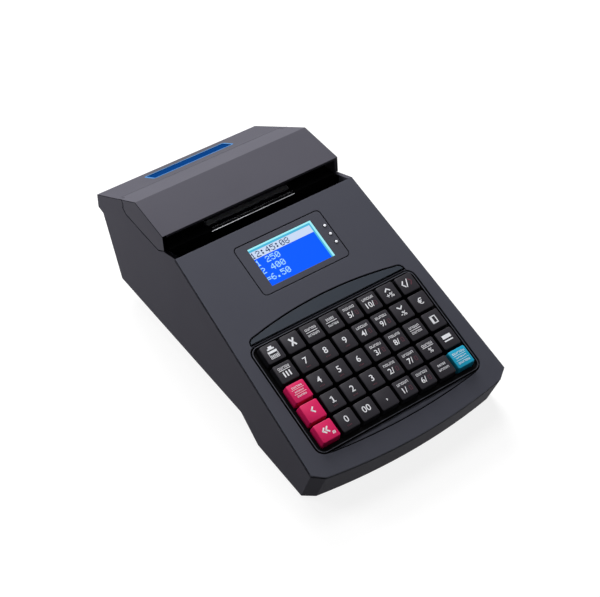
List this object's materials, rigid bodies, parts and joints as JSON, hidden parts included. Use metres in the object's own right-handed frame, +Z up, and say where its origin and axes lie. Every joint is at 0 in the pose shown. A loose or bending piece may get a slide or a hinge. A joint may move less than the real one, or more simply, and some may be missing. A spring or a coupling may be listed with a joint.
{
  "type": "cash register",
  "caption": "Portable cash register with a sloping keyboard, operator and customer displays, and a lift-up lid over its receipt printer.",
  "frame": {"origin": "on the table, under the middle of the register's bounding box", "axes": "+X across the keyboard to the operator's right, +Y from the keyboard towards the printer head, +Z up"},
  "size_m": [0.1362, 0.242, 0.09],
  "materials": {
    "case": "fine texture",
    "deck": "fine texture",
    "base": "plain",
    "lid": "fine texture",
    "steel": "plain",
    "black": "plain",
    "alloy": "plain",
    "rubber": "plain",
    "paper": "paper",
    "screen": "lit blue screen",
    "window": "blue window",
    "silicone": "translucent",
    "board": "circuit board",
    "cells": "shrink sleeve",
    "key_dark": "satin",
    "key_red": "satin",
    "key_blue": "satin"
  },
  "bodies": {
    "housing": {"main_case": "case", "deck_panel": "deck", "base_plate": "base", "hinge_pin": "steel", "printer_frame": "black", "print_head": "alloy", "tear_bar": "steel", "display_bezel": "deck", "operator_display": "screen", "customer_display": "window", "key_frame": "black", "key_mat": "silicone", "key_board": "board", "main_board": "board", "battery_pack": "cells", "feet": "rubber", "case_screws": "steel"},
    "lid": {"printer_lid": "lid"},
    "platen": {"platen_roller": "rubber"},
    "paper": {"paper_roll": "paper"},
    "key_clear": {"key_clear": "key_red"},
    "key_0": {"key_0": "key_dark"},
    "key_00": {"key_00": "key_dark"},
    "key_comma": {"key_comma": "key_dark"},
    "key_group_1": {"key_group_1": "key_dark"},
    "key_group_6": {"key_group_6": "key_dark"},
    "key_subtotal": {"key_subtotal": "key_dark"},
    "key_total": {"key_total": "key_blue"},
    "key_back": {"key_back": "key_red"},
    "key_1": {"key_1": "key_dark"},
    "key_2": {"key_2": "key_dark"},
    "key_3": {"key_3": "key_dark"},
    "key_group_2": {"key_group_2": "key_dark"},
    "key_group_7": {"key_group_7": "key_dark"},
    "key_percent": {"key_percent": "key_dark"},
    "key_card": {"key_card": "key_dark"},
    "key_cancel": {"key_cancel": "key_red"},
    "key_4": {"key_4": "key_dark"},
    "key_5": {"key_5": "key_dark"},
    "key_6": {"key_6": "key_dark"},
    "key_group_3": {"key_group_3": "key_dark"},
    "key_group_8": {"key_group_8": "key_dark"},
    "key_function_c": {"key_function_c": "key_dark"},
    "key_device": {"key_device": "key_dark"},
    "key_menu": {"key_menu": "key_dark"},
    "key_7": {"key_7": "key_dark"},
    "key_8": {"key_8": "key_dark"},
    "key_9": {"key_9": "key_dark"},
    "key_group_4": {"key_group_4": "key_dark"},
    "key_group_9": {"key_group_9": "key_dark"},
    "key_minus": {"key_minus": "key_dark"},
    "key_currency": {"key_currency": "key_dark"},
    "key_feed": {"key_feed": "key_dark"},
    "key_multiply": {"key_multiply": "key_dark"},
    "key_function_a": {"key_function_a": "key_dark"},
    "key_function_b": {"key_function_b": "key_dark"},
    "key_group_5": {"key_group_5": "key_dark"},
    "key_group_10": {"key_group_10": "key_dark"},
    "key_plus": {"key_plus": "key_dark"},
    "key_arrows": {"key_arrows": "key_dark"}
  },
  "joints": [
    {"name": "lid_hinge", "type": "hinge", "parent": "housing", "child": "lid", "pos_m": [0, 0.08934, 0.07661], "axis": [-1, 0, 0], "range_deg": [0, 100]},
    {"name": "platen_spin", "type": "hinge", "parent": "lid", "child": "platen", "pos_m": [0, 0.0475, 0.0803], "axis": [1, 0, 0], "continuous": true},
    {"name": "paper_spin", "type": "hinge", "parent": "housing", "child": "paper", "pos_m": [0, 0.0721, 0.05286], "axis": [1, 0, 0], "continuous": true},
    {"name": "key_clear_press", "type": "slide", "parent": "housing", "child": "key_clear", "axis": [0, 0.3535, -0.9354], "range_m": [0, 0.0025], "stiffness_N_per_m": 250, "springref_m": -0.0008},
    {"name": "key_0_press", "type": "slide", "parent": "housing", "child": "key_0", "axis": [0, 0.3535, -0.9354], "range_m": [0, 0.0025], "stiffness_N_per_m": 250, "springref_m": -0.0008},
    {"name": "key_00_press", "type": "slide", "parent": "housing", "child": "key_00", "axis": [0, 0.3535, -0.9354], "range_m": [0, 0.0025], "stiffness_N_per_m": 250, "springref_m": -0.0008},
    {"name": "key_comma_press", "type": "slide", "parent": "housing", "child": "key_comma", "axis": [0, 0.3535, -0.9354], "range_m": [0, 0.0025], "stiffness_N_per_m": 250, "springref_m": -0.0008},
    {"name": "key_group_1_press", "type": "slide", "parent": "housing", "child": "key_group_1", "axis": [0, 0.3535, -0.9354], "range_m": [0, 0.0025], "stiffness_N_per_m": 250, "springref_m": -0.0008},
    {"name": "key_group_6_press", "type": "slide", "parent": "housing", "child": "key_group_6", "axis": [0, 0.3535, -0.9354], "range_m": [0, 0.0025], "stiffness_N_per_m": 250, "springref_m": -0.0008},
    {"name": "key_subtotal_press", "type": "slide", "parent": "housing", "child": "key_subtotal", "axis": [0, 0.3535, -0.9354], "range_m": [0, 0.0025], "stiffness_N_per_m": 250, "springref_m": -0.0008},
    {"name": "key_total_press", "type": "slide", "parent": "housing", "child": "key_total", "axis": [0, 0.3535, -0.9354], "range_m": [0, 0.0025], "stiffness_N_per_m": 250, "springref_m": -0.0008},
    {"name": "key_back_press", "type": "slide", "parent": "housing", "child": "key_back", "axis": [0, 0.3535, -0.9354], "range_m": [0, 0.0025], "stiffness_N_per_m": 250, "springref_m": -0.0008},
    {"name": "key_1_press", "type": "slide", "parent": "housing", "child": "key_1", "axis": [0, 0.3535, -0.9354], "range_m": [0, 0.0025], "stiffness_N_per_m": 250, "springref_m": -0.0008},
    {"name": "key_2_press", "type": "slide", "parent": "housing", "child": "key_2", "axis": [0, 0.3535, -0.9354], "range_m": [0, 0.0025], "stiffness_N_per_m": 250, "springref_m": -0.0008},
    {"name": "key_3_press", "type": "slide", "parent": "housing", "child": "key_3", "axis": [0, 0.3535, -0.9354], "range_m": [0, 0.0025], "stiffness_N_per_m": 250, "springref_m": -0.0008},
    {"name": "key_group_2_press", "type": "slide", "parent": "housing", "child": "key_group_2", "axis": [0, 0.3535, -0.9354], "range_m": [0, 0.0025], "stiffness_N_per_m": 250, "springref_m": -0.0008},
    {"name": "key_group_7_press", "type": "slide", "parent": "housing", "child": "key_group_7", "axis": [0, 0.3535, -0.9354], "range_m": [0, 0.0025], "stiffness_N_per_m": 250, "springref_m": -0.0008},
    {"name": "key_percent_press", "type": "slide", "parent": "housing", "child": "key_percent", "axis": [0, 0.3535, -0.9354], "range_m": [0, 0.0025], "stiffness_N_per_m": 250, "springref_m": -0.0008},
    {"name": "key_card_press", "type": "slide", "parent": "housing", "child": "key_card", "axis": [0, 0.3535, -0.9354], "range_m": [0, 0.0025], "stiffness_N_per_m": 250, "springref_m": -0.0008},
    {"name": "key_cancel_press", "type": "slide", "parent": "housing", "child": "key_cancel", "axis": [0, 0.3535, -0.9354], "range_m": [0, 0.0025], "stiffness_N_per_m": 250, "springref_m": -0.0008},
    {"name": "key_4_press", "type": "slide", "parent": "housing", "child": "key_4", "axis": [0, 0.3535, -0.9354], "range_m": [0, 0.0025], "stiffness_N_per_m": 250, "springref_m": -0.0008},
    {"name": "key_5_press", "type": "slide", "parent": "housing", "child": "key_5", "axis": [0, 0.3535, -0.9354], "range_m": [0, 0.0025], "stiffness_N_per_m": 250, "springref_m": -0.0008},
    {"name": "key_6_press", "type": "slide", "parent": "housing", "child": "key_6", "axis": [0, 0.3535, -0.9354], "range_m": [0, 0.0025], "stiffness_N_per_m": 250, "springref_m": -0.0008},
    {"name": "key_group_3_press", "type": "slide", "parent": "housing", "child": "key_group_3", "axis": [0, 0.3535, -0.9354], "range_m": [0, 0.0025], "stiffness_N_per_m": 250, "springref_m": -0.0008},
    {"name": "key_group_8_press", "type": "slide", "parent": "housing", "child": "key_group_8", "axis": [0, 0.3535, -0.9354], "range_m": [0, 0.0025], "stiffness_N_per_m": 250, "springref_m": -0.0008},
    {"name": "key_function_c_press", "type": "slide", "parent": "housing", "child": "key_function_c", "axis": [0, 0.3535, -0.9354], "range_m": [0, 0.0025], "stiffness_N_per_m": 250, "springref_m": -0.0008},
    {"name": "key_device_press", "type": "slide", "parent": "housing", "child": "key_device", "axis": [0, 0.3535, -0.9354], "range_m": [0, 0.0025], "stiffness_N_per_m": 250, "springref_m": -0.0008},
    {"name": "key_menu_press", "type": "slide", "parent": "housing", "child": "key_menu", "axis": [0, 0.3535, -0.9354], "range_m": [0, 0.0025], "stiffness_N_per_m": 250, "springref_m": -0.0008},
    {"name": "key_7_press", "type": "slide", "parent": "housing", "child": "key_7", "axis": [0, 0.3535, -0.9354], "range_m": [0, 0.0025], "stiffness_N_per_m": 250, "springref_m": -0.0008},
    {"name": "key_8_press", "type": "slide", "parent": "housing", "child": "key_8", "axis": [0, 0.3535, -0.9354], "range_m": [0, 0.0025], "stiffness_N_per_m": 250, "springref_m": -0.0008},
    {"name": "key_9_press", "type": "slide", "parent": "housing", "child": "key_9", "axis": [0, 0.3535, -0.9354], "range_m": [0, 0.0025], "stiffness_N_per_m": 250, "springref_m": -0.0008},
    {"name": "key_group_4_press", "type": "slide", "parent": "housing", "child": "key_group_4", "axis": [0, 0.3535, -0.9354], "range_m": [0, 0.0025], "stiffness_N_per_m": 250, "springref_m": -0.0008},
    {"name": "key_group_9_press", "type": "slide", "parent": "housing", "child": "key_group_9", "axis": [0, 0.3535, -0.9354], "range_m": [0, 0.0025], "stiffness_N_per_m": 250, "springref_m": -0.0008},
    {"name": "key_minus_press", "type": "slide", "parent": "housing", "child": "key_minus", "axis": [0, 0.3535, -0.9354], "range_m": [0, 0.0025], "stiffness_N_per_m": 250, "springref_m": -0.0008},
    {"name": "key_currency_press", "type": "slide", "parent": "housing", "child": "key_currency", "axis": [0, 0.3535, -0.9354], "range_m": [0, 0.0025], "stiffness_N_per_m": 250, "springref_m": -0.0008},
    {"name": "key_feed_press", "type": "slide", "parent": "housing", "child": "key_feed", "axis": [0, 0.3535, -0.9354], "range_m": [0, 0.0025], "stiffness_N_per_m": 250, "springref_m": -0.0008},
    {"name": "key_multiply_press", "type": "slide", "parent": "housing", "child": "key_multiply", "axis": [0, 0.3535, -0.9354], "range_m": [0, 0.0025], "stiffness_N_per_m": 250, "springref_m": -0.0008},
    {"name": "key_function_a_press", "type": "slide", "parent": "housing", "child": "key_function_a", "axis": [0, 0.3535, -0.9354], "range_m": [0, 0.0025], "stiffness_N_per_m": 250, "springref_m": -0.0008},
    {"name": "key_function_b_press", "type": "slide", "parent": "housing", "child": "key_function_b", "axis": [0, 0.3535, -0.9354], "range_m": [0, 0.0025], "stiffness_N_per_m": 250, "springref_m": -0.0008},
    {"name": "key_group_5_press", "type": "slide", "parent": "housing", "child": "key_group_5", "axis": [0, 0.3535, -0.9354], "range_m": [0, 0.0025], "stiffness_N_per_m": 250, "springref_m": -0.0008},
    {"name": "key_group_10_press", "type": "slide", "parent": "housing", "child": "key_group_10", "axis": [0, 0.3535, -0.9354], "range_m": [0, 0.0025], "stiffness_N_per_m": 250, "springref_m": -0.0008},
    {"name": "key_plus_press", "type": "slide", "parent": "housing", "child": "key_plus", "axis": [0, 0.3535, -0.9354], "range_m": [0, 0.0025], "stiffness_N_per_m": 250, "springref_m": -0.0008},
    {"name": "key_arrows_press", "type": "slide", "parent": "housing", "child": "key_arrows", "axis": [0, 0.3535, -0.9354], "range_m": [0, 0.0025], "stiffness_N_per_m": 250, "springref_m": -0.0008}
  ]
}
